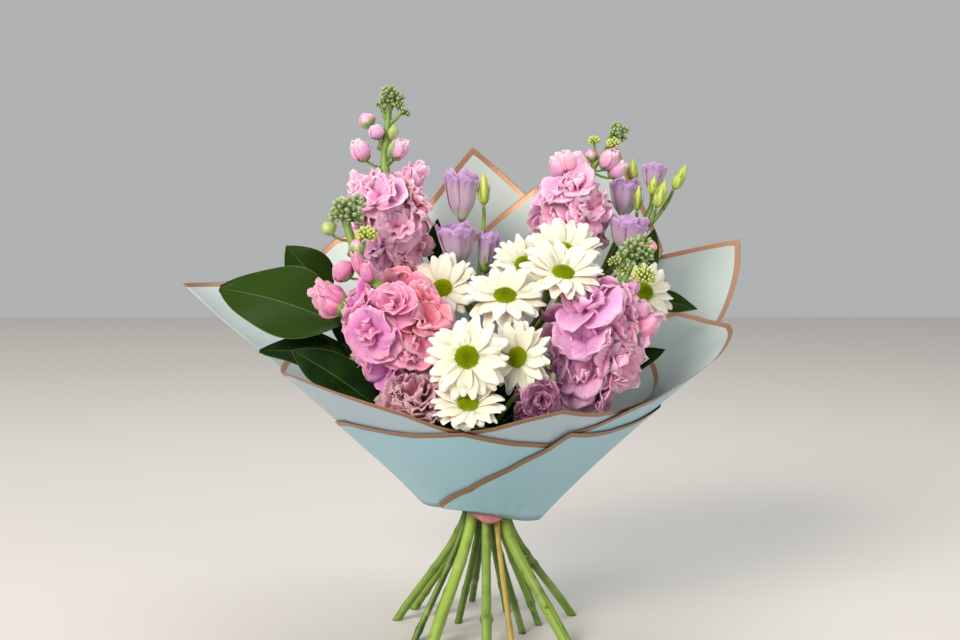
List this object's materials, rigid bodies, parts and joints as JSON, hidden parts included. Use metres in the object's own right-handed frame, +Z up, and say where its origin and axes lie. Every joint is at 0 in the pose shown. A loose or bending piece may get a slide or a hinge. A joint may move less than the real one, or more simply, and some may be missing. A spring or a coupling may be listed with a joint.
{
  "type": "mixed flower bouquet",
  "caption": "Hand-tied mixed bouquet of stock, chrysanthemum daisies and lisianthus in film wrap with a metallic border, standing on its splayed cut stems.",
  "frame": {"origin": "on the surface that the cut stems stand on, under the middle of the bouquet's bounding box", "axes": "+Z up, +X to the bouquet's right and +Y to its back, as seen from the front where the film crosses"},
  "size_m": [0.472, 0.2728, 0.438],
  "materials": {
    "green_stem": "satin",
    "dry_stem": "matte",
    "ribbon": "satin",
    "film_aqua": "matte",
    "film_pale": "matte",
    "daisy_petal": "matte",
    "carnation_petal": "matte",
    "lisianthus_bud": "satin",
    "lisianthus_petal": "matte",
    "stock_pink": "matte",
    "stock_salmon": "matte",
    "stock_lilac": "matte",
    "leaf": "satin"
  },
  "bodies": {
    "root": {"carnation": "carnation_petal", "carnation_stem": "green_stem", "daisy_1": "daisy_petal", "daisy_2": "daisy_petal", "daisy_3": "daisy_petal", "daisy_4": "daisy_petal", "daisy_5": "daisy_petal", "daisy_6": "daisy_petal", "daisy_7": "daisy_petal", "daisy_8": "daisy_petal", "daisy_9": "daisy_petal", "daisy_stem_front": "green_stem", "daisy_stem_left": "green_stem", "daisy_stem_right": "green_stem", "daisy_stem_side": "green_stem", "foliage_stem_back": "green_stem", "foliage_stem_left": "green_stem", "foliage_stem_right": "green_stem", "leaf_back": "leaf", "leaf_front": "leaf", "leaf_left_1": "leaf", "leaf_left_2": "leaf", "leaf_left_3": "leaf", "leaf_left_4": "leaf", "leaf_right_1": "leaf", "leaf_right_2": "leaf", "leaf_right_3": "leaf", "lisianthus_1": "lisianthus_petal", "lisianthus_2": "lisianthus_petal", "lisianthus_3": "lisianthus_petal", "lisianthus_4": "lisianthus_petal", "lisianthus_5": "lisianthus_petal", "lisianthus_6": "lisianthus_petal", "lisianthus_bud_1": "lisianthus_bud", "lisianthus_bud_2": "lisianthus_bud", "lisianthus_bud_3": "lisianthus_bud", "lisianthus_bud_4": "lisianthus_bud", "lisianthus_bud_5": "lisianthus_bud", "lisianthus_bud_6": "lisianthus_bud", "lisianthus_stem_left": "green_stem", "lisianthus_stem_right": "green_stem", "ribbon_tie": "ribbon", "stock_1": "stock_pink", "stock_2": "stock_salmon", "stock_3": "stock_pink", "stock_4": "stock_lilac", "stock_5": "stock_lilac", "stock_stem_1": "green_stem", "stock_stem_2": "green_stem", "stock_stem_3": "green_stem", "stock_stem_4": "green_stem", "stock_stem_5": "dry_stem", "wrap_back_peak": "film_aqua", "wrap_back_second": "film_aqua", "wrap_front_inner": "film_pale", "wrap_front_outer": "film_aqua", "wrap_front_right": "film_aqua", "wrap_left": "film_pale", "wrap_right": "film_aqua", "wrap_right_inner": "film_aqua"}
  },
  "joints": []
}
